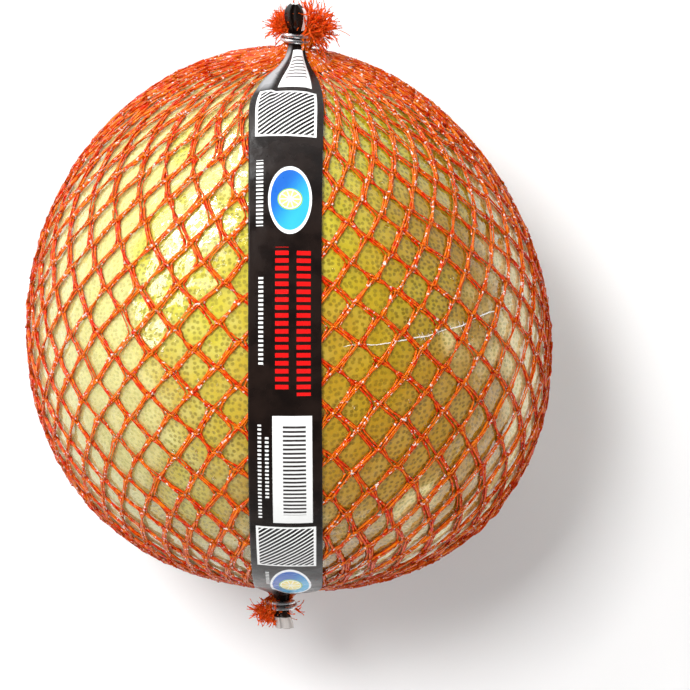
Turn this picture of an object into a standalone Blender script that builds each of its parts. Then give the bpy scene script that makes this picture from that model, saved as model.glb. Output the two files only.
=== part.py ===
"""Pomelo in clear film, held in a knitted net sleeve with a label band and two wire clips.

Metres, +Z up. The fruit lies on its side: +Y runs to the upper knot of the net and the label band
faces +Z. The origin is on the surface that it lies on, under the middle of the widest section.
"""

import math
import random

import bmesh
import bpy
from mathutils import Matrix, Vector

MM = 0.001

# Fruit: a round section on a pear-like profile, whose two halves are superellipses.
FRUIT_RADIUS = 76.05 * MM
STEM_REACH = 84.3 * MM
BLOSSOM_REACH = 73.8 * MM
STEM_FULLNESS = 1.93
BLOSSOM_FULLNESS = 2.2
SHOULDER_LEAN = 0.038
FLATTENING = 1.5 * MM
STEM_RINGS = ((9.0 * MM, -0.7 * MM), (5.0 * MM, -1.6 * MM), (3.1 * MM, -1.5 * MM), (2.3 * MM, -0.6 * MM))
BLOSSOM_RINGS = ((6.0 * MM, -0.2 * MM),)

# Layers, each a distance out from the fruit's surface.
FILM_INNER = 0.30 * MM
FILM_OUTER = 0.65 * MM
STRAND_BASE = 0.95 * MM
STRAND_RIDGE = 1.95 * MM
BAND_INNER = 2.30 * MM
BAND_OUTER = 2.90 * MM

# Net: every strand has one length between crossings, so its meshes grow taller near the knots.
MESHES_ROUND = 26
STRAND_LENGTH = 12.8 * MM
STRAND_HALF_WIDTH = 0.8 * MM
LEAST_GATHER = 7.5 * MM
REST_CUT = 0.4 * MM
GROUND_SIZE = 40 * MM
KNOT_TILT = math.radians(11.5)
KNOT_TILT_CHANGE = math.radians(3.5)
KNOT_TURN = math.radians(-1.7)
ROW_SKEW = 0.07

# Gathered ends of the net. Heights are along a knot's axis, from the net's own surface.
GATHER_REACH = 14.0 * MM
GATHER_RISE = 4.5 * MM
GATHER_POWER = 2.2
GATHER_OVERLAP = 1.3 * MM
PLEATS = 13
PLEAT_DEPTH = 0.3 * MM
HOOD_UNDERSIDE = STRAND_BASE + 0.3 * MM
HOOD_TOP = STRAND_RIDGE - 0.25 * MM
HOOD_RINGS_UNDER = (0.15, 0.92)
HOOD_RINGS_OVER = (1.0, 0.66, 0.4, 0.2)
NECK_SIDES = 12
NECK_SIDE = 3.0 * MM
NECK_FRONT = 2.0 * MM
BULB_HEIGHT = 9.2 * MM
NECK_STATIONS = (
    (0.8 * MM, 1.0),
    (7.6 * MM, 1.0),
    (8.6 * MM, 1.2),
    (9.7 * MM, 1.2),
    (10.8 * MM, 0.9),
    (11.3 * MM, 0.4),
)

# Cut ends of the net.
CUT_ROOT = 0.5 * MM
CUT_TIP = 0.36 * MM
CUT_GAP_IN_FRONT = math.radians(52)
UPPER_CUT_ENDS = {"count": 23, "longest": 8.6 * MM, "spread": math.radians(88), "lean": 0.1, "seed": 4}
LOWER_CUT_ENDS = {"count": 14, "longest": 5.5 * MM, "spread": math.radians(84), "lean": -0.25, "seed": 9}

# Clips of round wire, wound a turn and a third with both ends on the front.
WIRE_RADIUS = 0.7 * MM
CLIP_SIDE = 4.1 * MM
CLIP_FRONT = 3.5 * MM
CLIP_SHIFT = 0.5 * MM
CLIP_HEIGHT = 5.9 * MM
CLIP_PITCH = 1.6 * MM
CLIP_START = math.radians(25)
CLIP_SWEEP = math.radians(490)
CLIP_POINTS = 27

# Label band.
BAND_HALF_WIDTH = 10.0 * MM
BAND_PINCHED = 2.2 * MM
BAND_LANDING = 4.2 * MM
UPPER_TAPER = 30 * MM
LOWER_TAPER = 17 * MM
BAND_STEPS = 30
BAND_ACROSS = 4
BAND_CLEARANCE = 0.3 * MM
BAND_THICKNESS = BAND_OUTER - BAND_INNER

CENTRE = Vector((0, 0, FRUIT_RADIUS + STRAND_RIDGE - FLATTENING - REST_CUT))


def clear_scene():
    for obj in list(bpy.data.objects):
        bpy.data.objects.remove(obj)


def material(name, colour, roughness, metallic=0.0, alpha=1.0):
    made = bpy.data.materials.new(name)
    made.use_nodes = True
    shader = made.node_tree.nodes["Principled BSDF"]
    shader.inputs["Base Color"].default_value = (*colour, 1.0)
    shader.inputs["Roughness"].default_value = roughness
    shader.inputs["Metallic"].default_value = metallic
    shader.inputs["Alpha"].default_value = alpha
    return made


def solid(name, points, faces, finish=None, collection=None):
    """An object whose faces all point outwards, whichever way round they were listed."""
    mesh = bpy.data.meshes.new(name)
    mesh.from_pydata([tuple(p) for p in points], [], faces)
    work = bmesh.new()
    work.from_mesh(mesh)
    bmesh.ops.recalc_face_normals(work, faces=work.faces)
    work.to_mesh(mesh)
    work.free()
    obj = bpy.data.objects.new(name, mesh)
    (collection or bpy.context.scene.collection).objects.link(obj)
    if finish:
        mesh.materials.append(finish)
    return obj


def shade(obj, sharp_above=50):
    obj.data.shade_smooth()
    obj.data.set_sharp_from_angle(angle=math.radians(sharp_above))


# The fruit's surface and the net's grid


def fruit_reach(direction):
    """Distance from the fruit's centre to its surface along a unit vector."""
    reach, power = BLOSSOM_REACH, BLOSSOM_FULLNESS
    if direction.y > 0:
        reach, power = STEM_REACH, STEM_FULLNESS
    across = math.hypot(direction.x, direction.z) / FRUIT_RADIUS
    along = abs(direction.y) / reach
    profile = (across**power + along**power) ** (-1 / power)
    return profile * (1 - SHOULDER_LEAN * direction.x * direction.y)


def layer_point(direction, offset):
    """Point on the layer at this distance out, pressed flat where the fruit lies on its side."""
    point = CENTRE + direction * (fruit_reach(direction) + offset)
    point.z = max(point.z, STRAND_RIDGE - offset - REST_CUT)
    return point


def net_direction(longitude, polar):
    """Unit vector on the net's grid: polar 0 is the upper knot, longitude 0 faces up."""
    polar -= ROW_SKEW * math.sin(longitude) * math.sin(polar)
    ring = math.sin(polar)
    local = Vector((ring * math.sin(longitude), math.cos(polar), ring * math.cos(longitude)))
    tilt = Matrix.Rotation(KNOT_TILT + KNOT_TILT_CHANGE * math.cos(polar), 3, "X")
    return Matrix.Rotation(KNOT_TURN, 3, "Z") @ tilt @ local


UPPER_KNOT = net_direction(0, 0)
LOWER_KNOT = net_direction(0, math.pi)


def gather_rise(direction):
    """How far the gathered net stands off the fruit near a knot."""
    rise = 0.0
    for knot in (UPPER_KNOT, LOWER_KNOT):
        away = direction.angle(knot) * fruit_reach(knot)
        rise += GATHER_RISE * max(0.0, 1 - away / GATHER_REACH) ** GATHER_POWER
    return rise


def net_point(direction, offset):
    return layer_point(direction, offset + gather_rise(direction))


def rest_polar():
    """Polar angle of the crossing that lies straight under the centre, on the lower meridian."""
    polar = math.pi / 2
    for _ in range(20):
        polar = math.pi / 2 + KNOT_TILT + KNOT_TILT_CHANGE * math.cos(polar)
    return polar


def mesh_size(polar):
    """(reach, half width, half height) of the meshes in the row at this polar angle."""
    reach = fruit_reach(net_direction(math.pi, polar)) + STRAND_BASE
    half_width = math.pi * reach * math.sin(polar) / MESHES_ROUND
    return reach, half_width, math.sqrt(STRAND_LENGTH**2 - half_width**2)


def rows_towards(polar, way):
    """Polar angles of the rows past this one, as far as the gathered end."""
    rows = []
    while True:
        reach, _, half_height = mesh_size(polar)
        polar += way * half_height / reach
        if reach * math.sin(polar) < LEAST_GATHER or not 0 < polar < math.pi:
            return rows
        rows.append(polar)


def net_rows():
    """(polar angles of all rows from the upper knot, index of the row that the fruit lies on)."""
    rest = rest_polar()
    upper = rows_towards(rest, -1)[::-1]
    return [*upper, rest, *rows_towards(rest, 1)], len(upper)


def longitudes(row, rest_row):
    """Crossings of a row. Neighbouring rows are half a mesh apart."""
    half = (row - rest_row) % 2 / 2
    return [math.pi + math.tau * (i + half) / MESHES_ROUND for i in range(MESHES_ROUND)]


# Fruit and film, built on the net's grid so that the layers stay parallel


def strip_faces(first, second, stagger, count=MESHES_ROUND):
    """Triangles between two rings of points. stagger is 0.5 where the first ring is half a step on."""
    faces = []
    for i in range(count):
        j = (i + 1) % count
        if stagger:
            faces += [(first + i, first + j, second + j), (first + i, second + j, second + i)]
        else:
            faces += [(first + i, first + j, second + i), (first + j, second + j, second + i)]
    return faces


def knot_rings(rings, way, stagger):
    """(longitude list, polar angle, sink, stagger) of rings close to a knot, outermost first."""
    made = []
    for radius, sink in rings:
        stagger = 0.5 - stagger
        angle = radius / (STEM_REACH if way < 0 else BLOSSOM_REACH)
        polar = angle if way < 0 else math.pi - angle
        turns = [math.pi + math.tau * (i + stagger) / MESHES_ROUND for i in range(MESHES_ROUND)]
        made.append((turns, polar, sink, stagger))
    return made


def skin_rings():
    """Rings of the fruit's surface, stem end first, each (longitudes, polar angle, sink, stagger)."""
    rows, rest_row = net_rows()
    middle = [(longitudes(k, rest_row), polar, 0.0, (k - rest_row) % 2 / 2) for k, polar in enumerate(rows)]
    stem = knot_rings(STEM_RINGS, -1, middle[0][3])
    blossom = knot_rings(BLOSSOM_RINGS, 1, middle[-1][3])
    return [*stem[::-1], *middle, *blossom]


def skin_points(rings, offset, sinks=True):
    points = []
    for turns, polar, sink, _ in rings:
        points += [layer_point(net_direction(turn, polar), offset + sink * sinks) for turn in turns]
    return points


def skin_faces(rings, start=0):
    faces = []
    for k in range(len(rings) - 1):
        faces += strip_faces(start + k * MESHES_ROUND, start + (k + 1) * MESHES_ROUND, rings[k][3])
    return faces


def fan(apex, ring, count=MESHES_ROUND):
    return [(apex, ring + i, ring + (i + 1) % count) for i in range(count)]


def build_fruit(finish):
    """The whole fruit in one piece, with the stem scar in a shallow basin at the upper knot."""
    rings = skin_rings()
    points = skin_points(rings, 0.0)
    stem, blossom = len(points), len(points) + 1
    points += [layer_point(UPPER_KNOT, STEM_RINGS[-1][1]), layer_point(LOWER_KNOT, BLOSSOM_RINGS[-1][1] * 2)]
    faces = skin_faces(rings) + fan(stem, 0) + fan(blossom, (len(rings) - 1) * MESHES_ROUND)
    shade(solid("fruit", points, faces, finish))


def build_film(finish):
    """The shrunk film bag: a thin skin, open round the stem scar and closed at the blossom end."""
    rings = skin_rings()[len(STEM_RINGS) - 1 :]
    inner = skin_points(rings, FILM_INNER, sinks=False)
    outer = skin_points(rings, FILM_OUTER, sinks=False)
    points = inner + outer
    faces = skin_faces(rings) + skin_faces(rings, len(inner))
    last_ring = (len(rings) - 1) * MESHES_ROUND
    for layer, offset in enumerate((FILM_INNER, FILM_OUTER)):
        faces += fan(len(points), layer * len(inner) + last_ring)
        points.append(layer_point(LOWER_KNOT, offset))
    for i in range(MESHES_ROUND):
        j = (i + 1) % MESHES_ROUND
        faces.append((i, j, len(inner) + j, len(inner) + i))
    shade(solid("film_bag", points, faces, finish))


# Net sleeve


def crossing_points(longitude, polar):
    """Ridge point of a crossing, then its base corners to the east, north, west and south."""
    reach, half_width, half_height = mesh_size(polar)
    width = min(STRAND_HALF_WIDTH, 0.3 * half_width)
    east = width * STRAND_LENGTH / half_height / (reach * math.sin(polar))
    north = width * STRAND_LENGTH / half_width / reach
    corners = ((east, 0), (0, -north), (-east, 0), (0, north))
    ridge = net_point(net_direction(longitude, polar), STRAND_RIDGE)
    return [ridge] + [net_point(net_direction(longitude + u, polar + v), STRAND_BASE) for u, v in corners]


RIDGE, EAST, NORTH, WEST, SOUTH = range(5)


def build_lattice():
    """All the crossings and strands as one closed body, each strand a prism with its edge outwards."""
    rows, rest_row = net_rows()
    points, faces = [], []
    for k, polar in enumerate(rows):
        for turn in longitudes(k, rest_row):
            points += crossing_points(turn, polar)

    def at(row, i, corner):
        return (row * MESHES_ROUND + i % MESHES_ROUND) * 5 + corner

    for k in range(len(rows)):
        ahead = (k - rest_row) % 2
        for i in range(MESHES_ROUND):
            faces.append(tuple(at(k, i, corner) for corner in (NORTH, EAST, SOUTH, WEST)))
            if k == 0:
                faces.append((at(k, i, RIDGE), at(k, i, EAST), at(k, i, NORTH)))
                faces.append((at(k, i, RIDGE), at(k, i, NORTH), at(k, i, WEST)))
            if k == len(rows) - 1:
                faces.append((at(k, i, RIDGE), at(k, i, WEST), at(k, i, SOUTH)))
                faces.append((at(k, i, RIDGE), at(k, i, SOUTH), at(k, i, EAST)))
                continue
            east, west = i + ahead, i + ahead - 1
            ends = ((east, EAST, NORTH, SOUTH, WEST), (west, SOUTH, EAST, WEST, NORTH))
            for j, near_a, far_a, near_b, far_b in ends:
                edge = [at(k, i, RIDGE), at(k + 1, j, RIDGE)]
                side_a = [at(k, i, near_a), at(k + 1, j, far_a)]
                side_b = [at(k, i, near_b), at(k + 1, j, far_b)]
                for one, two in ((edge, side_a), (side_a, side_b), (side_b, edge)):
                    faces.append((one[0], one[1], two[1], two[0]))
    return solid("net_sleeve", points, faces)


class Knot:
    """A gathered end of the net: where it starts, and its axes outwards, to the front and sideways."""

    def __init__(self, direction):
        self.out = direction
        self.start = CENTRE + direction * (fruit_reach(direction) + STRAND_BASE)
        up = Vector((0, 0, 1))
        self.front = (up - self.out * up.dot(self.out)).normalized()
        self.side = Vector((1, 0, 0))
        self.side -= self.out * self.side.dot(self.out)
        self.side.normalize()

    def point(self, height, front=0.0, side=0.0):
        return self.start + self.out * height + self.front * front + self.side * side

    def around(self, radius, turn):
        """Unit vector to the surface this far from the knot's axis."""
        angle = radius / fruit_reach(self.out)
        spoke = self.front * math.cos(turn) + self.side * math.sin(turn)
        return (self.out * math.cos(angle) + spoke * math.sin(angle)).normalized()


def loft(name, rings, collection):
    """A closed solid through rings of equal length, ended by flat faces."""
    count = len(rings[0])
    points = [p for ring in rings for p in ring]
    faces = [tuple(range(count)), tuple(range(len(points) - count, len(points)))]
    for k in range(len(rings) - 1):
        for i in range(count):
            j = (i + 1) % count
            faces.append((k * count + i, k * count + j, (k + 1) * count + j, (k + 1) * count + i))
    return solid(name, points, faces, collection=collection)


def build_gather(knot, rim, collection):
    """The pleated hood in which the strands come together on their way into the neck."""
    sides = 2 * PLEATS
    turns = [math.tau * i / sides for i in range(sides)]
    rings = []
    for share in HOOD_RINGS_UNDER:
        spots = [knot.around(rim * share, turn) for turn in turns]
        rings.append([layer_point(spot, HOOD_UNDERSIDE) for spot in spots])
    for share in HOOD_RINGS_OVER:
        spots = [knot.around(rim * share, turn) for turn in turns]
        heights = [HOOD_TOP + PLEAT_DEPTH * (1 - share) * (-1) ** i for i in range(sides)]
        rings.append([net_point(spot, height) for spot, height in zip(spots, heights)])
    loft("gather", rings, collection)


def build_neck(knot, collection):
    """The bundle that the clip closes on, and the bulb that the cut ends stand out of."""
    turns = [math.tau * i / NECK_SIDES for i in range(NECK_SIDES)]
    rings = []
    for height, size in NECK_STATIONS:
        front, side = NECK_FRONT * size, NECK_SIDE * size
        rings.append([knot.point(height, front * math.cos(t), side * math.sin(t)) for t in turns])
    loft("neck", rings, collection)


def build_cut_end(points, collection):
    """One cut strand as a three-sided rod that tapers along its points."""
    along = (points[-1] - points[0]).normalized()
    first = along.orthogonal().normalized()
    second = along.cross(first)
    rings = []
    for k, point in enumerate(points):
        radius = CUT_ROOT + (CUT_TIP - CUT_ROOT) * k / (len(points) - 1)
        turns = [math.tau * i / 3 for i in range(3)]
        rings.append([point + (first * math.cos(t) + second * math.sin(t)) * radius for t in turns])
    loft("cut_end", rings, collection)


def build_tuft(knot, collection, count, longest, spread, lean, seed):
    """Cut ends of the net, spread round the core and kept clear of the band's tail in front."""
    draw = random.Random(seed)
    golden = (math.sqrt(5) - 1) / 2
    for n in range(count):
        turn = CUT_GAP_IN_FRONT + (math.tau - 2 * CUT_GAP_IN_FRONT) * (n * golden % 1)
        open_angle = spread * math.sqrt(n / count)
        sideways = knot.side * math.sin(open_angle) * math.sin(turn)
        forward = knot.front * math.sin(open_angle) * math.cos(turn)
        root = knot.point(BULB_HEIGHT) + knot.out * math.cos(open_angle) * 1.0 * MM
        root += (sideways * NECK_SIDE + forward * NECK_FRONT) * 0.5
        way = knot.out * math.cos(open_angle) + sideways * 1.1 + forward * 0.85 + knot.side * lean
        tip = root + way * longest * draw.uniform(0.72, 1.0)
        middle = (root + tip) / 2 + knot.out * 0.3 * MM
        build_cut_end([root, middle, tip], collection)


def build_net(finish):
    """Sleeve, hoods, necks and cut ends joined in one body, with the crossings that it lies on cut flat."""
    sleeve = build_lattice()
    parts = bpy.data.collections.new("net_parts")
    bpy.context.scene.collection.children.link(parts)
    upper, lower = Knot(UPPER_KNOT), Knot(LOWER_KNOT)
    rows = net_rows()[0]
    for knot, from_knot in ((upper, rows[0]), (lower, math.pi - rows[-1])):
        build_gather(knot, from_knot * fruit_reach(knot.out) + GATHER_OVERLAP, parts)
        build_neck(knot, parts)
    build_tuft(upper, parts, **UPPER_CUT_ENDS)
    build_tuft(lower, parts, **LOWER_CUT_ENDS)
    ground = solid("ground", *box((-GROUND_SIZE, -GROUND_SIZE, -GROUND_SIZE), (GROUND_SIZE, GROUND_SIZE, 0)))
    ground.hide_render = True
    union = sleeve.modifiers.new("join", "BOOLEAN")
    union.operation = "UNION"
    union.operand_type = "COLLECTION"
    union.collection = parts
    union.solver = "MANIFOLD"
    cut = sleeve.modifiers.new("rest_flat", "BOOLEAN")
    cut.object = ground
    cut.solver = "MANIFOLD"
    apply_modifiers(sleeve)
    for part in [*parts.objects, ground]:
        bpy.data.objects.remove(part)
    bpy.data.collections.remove(parts)
    sleeve.data.materials.clear()
    sleeve.data.materials.append(finish)


def box(low, high):
    """(points, faces) of a box between two corners."""
    points = [(x, y, z) for x in (low[0], high[0]) for y in (low[1], high[1]) for z in (low[2], high[2])]
    faces = [(0, 1, 3, 2), (4, 6, 7, 5), (0, 4, 5, 1), (2, 3, 7, 6), (0, 2, 6, 4), (1, 5, 7, 3)]
    return points, faces


def apply_modifiers(obj):
    bpy.context.view_layer.update()
    graph = bpy.context.evaluated_depsgraph_get()
    applied = bpy.data.meshes.new_from_object(obj.evaluated_get(graph))
    obj.modifiers.clear()
    obj.data = applied


# Clips


def build_clip(name, knot, finish):
    """Round wire wound flat round the neck and the band, its two ends side by side in front."""
    curve = bpy.data.curves.new(name, "CURVE")
    curve.dimensions = "3D"
    curve.bevel_depth = WIRE_RADIUS
    curve.bevel_resolution = 1
    curve.use_fill_caps = True
    line = curve.splines.new("POLY")
    line.points.add(CLIP_POINTS - 1)
    for k, point in enumerate(line.points):
        share = k / (CLIP_POINTS - 1)
        turn = CLIP_START + CLIP_SWEEP * share
        height = CLIP_HEIGHT + CLIP_PITCH * CLIP_SWEEP / math.tau * (share - 0.5)
        place = knot.point(height, CLIP_SHIFT + CLIP_FRONT * math.sin(turn), CLIP_SIDE * math.cos(turn))
        point.co = (*place, 1.0)
    curve.materials.append(finish)
    clip = bpy.data.objects.new(name, curve)
    bpy.context.scene.collection.objects.link(clip)


# Label band


def eased(share):
    share = min(1.0, max(0.0, share))
    return share * share * (3 - 2 * share)


def band_half_width(from_knot, taper):
    """The band narrows into its pleats over this length before the knot."""
    share = min(1.0, max(0.0, from_knot / taper))
    return BAND_PINCHED + (BAND_HALF_WIDTH - BAND_PINCHED) * math.sin(math.pi / 2 * share) ** 1.25


def band_on_fruit():
    """Cross-sections of the band over the net, upper knot first: each (inner points, outer points)."""
    upper_end = math.asin(UPPER_KNOT.z) + BAND_LANDING / fruit_reach(UPPER_KNOT)
    lower_end = math.pi - math.asin(LOWER_KNOT.z) - BAND_LANDING / fruit_reach(LOWER_KNOT)
    sections = []
    for step in range(BAND_STEPS + 1):
        share = step / BAND_STEPS
        angle = math.pi / 2 - (upper_end + (lower_end - upper_end) * share)
        from_upper = (math.pi / 2 - angle - upper_end) * STEM_REACH
        from_lower = (lower_end - math.pi / 2 + angle) * BLOSSOM_REACH
        drift = UPPER_KNOT.x * (1 - eased(from_upper / UPPER_TAPER))
        drift += LOWER_KNOT.x * (1 - eased(from_lower / LOWER_TAPER))
        middle = Vector((drift, math.sin(angle), math.cos(angle))).normalized()
        half = min(band_half_width(from_upper, UPPER_TAPER), band_half_width(from_lower, LOWER_TAPER))
        inner, outer = [], []
        for i in range(BAND_ACROSS + 1):
            across = half * (2 * i / BAND_ACROSS - 1)
            spot = (middle * FRUIT_RADIUS + Vector((across, 0, 0))).normalized()
            inner.append(net_point(spot, BAND_INNER))
            outer.append(net_point(spot, BAND_OUTER))
        sections.append((inner, outer))
    return sections


def band_tail(knot, stations):
    """Cross-sections from the band's end on the net, through the clip and on to its cut end.

    A station is (height, distance in front of the neck, half width, shift to the side)."""
    sections = []
    for height, ahead, half, shift in stations:
        inner, outer = [], []
        for i in range(BAND_ACROSS + 1):
            across = half * (2 * i / BAND_ACROSS - 1)
            round_neck = NECK_FRONT * (math.sqrt(1 - (across / (NECK_SIDE + 0.6 * MM)) ** 2) - 1)
            front = NECK_FRONT + BAND_CLEARANCE + ahead + round_neck
            inner.append(knot.point(height, front, shift + across))
            outer.append(knot.point(height, front + BAND_THICKNESS, shift + across))
        sections.append((inner, outer))
    return sections


# Stations of the band past the net: (height, distance in front of the neck, half width, shift).
THROUGH_CLIP = (
    (3.9 * MM, 0.35 * MM, 2.2 * MM, 0.0),
    (4.9 * MM, 0.0, 2.1 * MM, 0.0),
    (7.7 * MM, 0.05 * MM, 2.1 * MM, 0.0),
)
UPPER_TAIL = (
    *THROUGH_CLIP,
    (9.2 * MM, 0.85 * MM, 2.4 * MM, -0.2 * MM),
    (11.6 * MM, 1.6 * MM, 2.7 * MM, -0.5 * MM),
    (14.6 * MM, 1.8 * MM, 2.6 * MM, -0.8 * MM),
    (16.4 * MM, 1.5 * MM, 1.7 * MM, -1.0 * MM),
)
LOWER_TAIL = (
    *THROUGH_CLIP,
    (9.2 * MM, 0.85 * MM, 2.4 * MM, 0.4 * MM),
    (10.8 * MM, 0.9 * MM, 2.7 * MM, 0.9 * MM),
    (12.8 * MM, 0.6 * MM, 2.7 * MM, 1.2 * MM),
)


def build_band(finish):
    upper = band_tail(Knot(UPPER_KNOT), UPPER_TAIL)
    lower = band_tail(Knot(LOWER_KNOT), LOWER_TAIL)
    sections = [*upper[::-1], *band_on_fruit(), *lower]
    loop = [[*inner, *outer[::-1]] for inner, outer in sections]
    shade(loft("label_band", loop, None), 40)
    bpy.data.objects["label_band"].data.materials.append(finish)


def main():
    clear_scene()
    build_fruit(material("rind", (0.62, 0.56, 0.12), 0.45))
    build_film(material("clear_film", (0.93, 0.95, 0.93), 0.08, alpha=0.25))
    build_net(material("net_plastic", (0.9, 0.12, 0.02), 0.35))
    build_band(material("band_film", (0.03, 0.02, 0.02), 0.25))
    clip_metal = material("clip_wire", (0.75, 0.75, 0.76), 0.3, metallic=1.0)
    build_clip("clip_upper", Knot(UPPER_KNOT), clip_metal)
    build_clip("clip_lower", Knot(LOWER_KNOT), clip_metal)


main()
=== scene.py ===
"""Looks of a pomelo in clear film and a knitted net sleeve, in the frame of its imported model."""

import math

import bmesh
import bpy
import numpy as np
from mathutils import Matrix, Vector, noise


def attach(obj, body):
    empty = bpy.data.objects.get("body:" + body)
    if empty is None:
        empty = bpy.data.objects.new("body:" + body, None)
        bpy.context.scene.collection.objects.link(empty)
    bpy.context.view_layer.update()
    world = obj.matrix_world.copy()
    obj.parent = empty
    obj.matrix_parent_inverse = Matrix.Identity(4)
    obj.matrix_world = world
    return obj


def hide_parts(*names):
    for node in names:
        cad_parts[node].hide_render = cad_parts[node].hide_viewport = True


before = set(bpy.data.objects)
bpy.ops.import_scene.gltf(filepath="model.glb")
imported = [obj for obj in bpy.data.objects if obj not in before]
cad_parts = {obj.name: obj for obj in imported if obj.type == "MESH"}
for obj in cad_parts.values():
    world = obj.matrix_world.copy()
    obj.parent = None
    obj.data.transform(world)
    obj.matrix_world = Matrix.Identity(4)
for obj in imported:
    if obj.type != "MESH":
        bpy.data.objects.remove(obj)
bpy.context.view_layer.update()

MM = 0.001

# Fruit surface and net grid, the same as in the model.
FRUIT_RADIUS = 76.05 * MM
STEM_REACH = 84.3 * MM
BLOSSOM_REACH = 73.8 * MM
STEM_FULLNESS = 1.93
BLOSSOM_FULLNESS = 2.2
SHOULDER_LEAN = 0.038
FLATTENING = 1.5 * MM
STRAND_RIDGE = 1.95 * MM
STRAND_BASE = 0.95 * MM
REST_CUT = 0.4 * MM
REST_GAP = 1.2 * MM
KNOT_TILT = math.radians(11.5)
KNOT_TILT_CHANGE = math.radians(3.5)
KNOT_TURN = math.radians(-1.7)
ROW_SKEW = 0.21
MIDDLE_TILT = math.radians(-4.0)
FRONT_STRETCH = 0.12
GATHER_REACH = 14.0 * MM
GATHER_RISE = 4.5 * MM
GATHER_POWER = 2.2
NECK_SIDE = 3.0 * MM
NECK_FRONT = 2.0 * MM
CENTRE = np.array([0, 0, FRUIT_RADIUS + STRAND_RIDGE - FLATTENING - REST_CUT])
# No layer of the fruit's packing comes nearer to the floor than this.
LEAST_HEIGHT = 0.6 * MM

# Net as it really is: finer meshes of thin filaments.
MESHES_ROUND = 40
STRAND_LENGTH = 8.75 * MM
LEAST_GATHER = 8.0 * MM
STRAND_STEPS = 6
BAR_LENGTH = 0.8 * MM
STRAND_WIDTH_MM = 0.76
STRAND_THICKNESS = 0.3 * MM
# Filaments grow finer where the net is narrower than this, and broader past this polar angle.
FINER_WITHIN = 45 * MM
BROADER_BELOW = 1.9

# Camera: straight down, with the photograph's scale at the height of the fruit's middle.
CAMERA_DISTANCE = 1.1
PIXELS_PER_METRE = 3370.0
FRAME_PIXELS = 690
CENTRE_PIXEL = (289.0, 336.0)


# Shape functions, all on arrays of directions


def fruit_reach(d):
    upper = d[..., 1] > 0
    reach = np.where(upper, STEM_REACH, BLOSSOM_REACH)
    power = np.where(upper, STEM_FULLNESS, BLOSSOM_FULLNESS)
    across = np.hypot(d[..., 0], d[..., 2]) / FRUIT_RADIUS
    along = np.abs(d[..., 1]) / reach
    profile = (across**power + along**power) ** (-1 / power)
    return profile * (1 - SHOULDER_LEAN * d[..., 0] * d[..., 1])


def layer_point(d, offset):
    offset = np.asarray(offset, dtype=float)
    point = CENTRE + d * (fruit_reach(d) + offset)[..., None]
    lowest = np.maximum(REST_GAP - offset, LEAST_HEIGHT)
    point[..., 2] = np.maximum(point[..., 2], lowest)
    return point


def net_direction(longitude, polar):
    longitude, polar = np.broadcast_arrays(np.asarray(longitude, float), np.asarray(polar, float))
    longitude = longitude + FRONT_STRETCH * np.sin(longitude + 0.1) * np.sin(polar * 0.75) ** 2
    polar = polar - ROW_SKEW * np.sin(longitude) * np.sin(polar)
    ring = np.sin(polar)
    x, y, z = ring * np.sin(longitude), np.cos(polar), ring * np.cos(longitude)
    tilt = KNOT_TILT + KNOT_TILT_CHANGE * np.cos(polar) + MIDDLE_TILT * ring**2
    y, z = y * np.cos(tilt) - z * np.sin(tilt), y * np.sin(tilt) + z * np.cos(tilt)
    turn = KNOT_TURN
    x, y = x * math.cos(turn) - y * math.sin(turn), x * math.sin(turn) + y * math.cos(turn)
    return np.stack([x, y, z], -1)


UPPER_KNOT = net_direction(0, 0)
LOWER_KNOT = net_direction(0, math.pi)


def angle_from(d, knot):
    return np.arccos(np.clip(d @ knot, -1, 1))


def gather_rise(d):
    """How far the net rises off the fruit towards its two gathered ends."""
    rise = 0.0
    for knot in (UPPER_KNOT, LOWER_KNOT):
        away = angle_from(d, knot) * fruit_reach(knot)
        rise = rise + GATHER_RISE * np.maximum(0.0, 1 - away / GATHER_REACH) ** GATHER_POWER
    return rise


def net_point(d, offset):
    return layer_point(d, offset + gather_rise(d))


def unit(v):
    return v / np.linalg.norm(v, axis=-1, keepdims=True)


class Knot:
    """A gathered end of the net, with its axes outwards, to the front and sideways."""

    def __init__(self, direction):
        self.out = direction
        self.start = CENTRE + direction * (fruit_reach(direction) + STRAND_BASE)
        up = np.array([0, 0, 1.0])
        self.front = unit(up - direction * (up @ direction))
        side = np.array([1.0, 0, 0])
        self.side = unit(side - direction * (side @ direction))

    def point(self, height, front=0.0, side=0.0):
        numbers = (np.asarray(v, float) for v in (height, front, side))
        height, front, side = np.broadcast_arrays(*numbers)
        shift = front[..., None] * self.front + side[..., None] * self.side
        return self.start + height[..., None] * self.out + shift

    def around(self, radius, turn):
        """Directions at this distance from the knot along the fruit, at these turns round it."""
        angle = np.asarray(radius / fruit_reach(self.out))
        spoke = np.cos(turn)[..., None] * self.front + np.sin(turn)[..., None] * self.side
        return unit(self.out * np.cos(angle)[..., None] + spoke * np.sin(angle)[..., None])


UPPER, LOWER = Knot(UPPER_KNOT), Knot(LOWER_KNOT)


def camera_place():
    x = (FRAME_PIXELS / 2 - CENTRE_PIXEL[0]) / PIXELS_PER_METRE
    y = (CENTRE_PIXEL[1] - FRAME_PIXELS / 2) / PIXELS_PER_METRE
    return np.array([x, y, CENTRE[2] + CAMERA_DISTANCE])


def photo_row(points):
    """Row of the picture in which a point shows."""
    eye = camera_place()
    scale = CAMERA_DISTANCE / (eye[2] - points[..., 2])
    return FRAME_PIXELS / 2 - (points[..., 1] - eye[1]) * scale * PIXELS_PER_METRE


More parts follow.
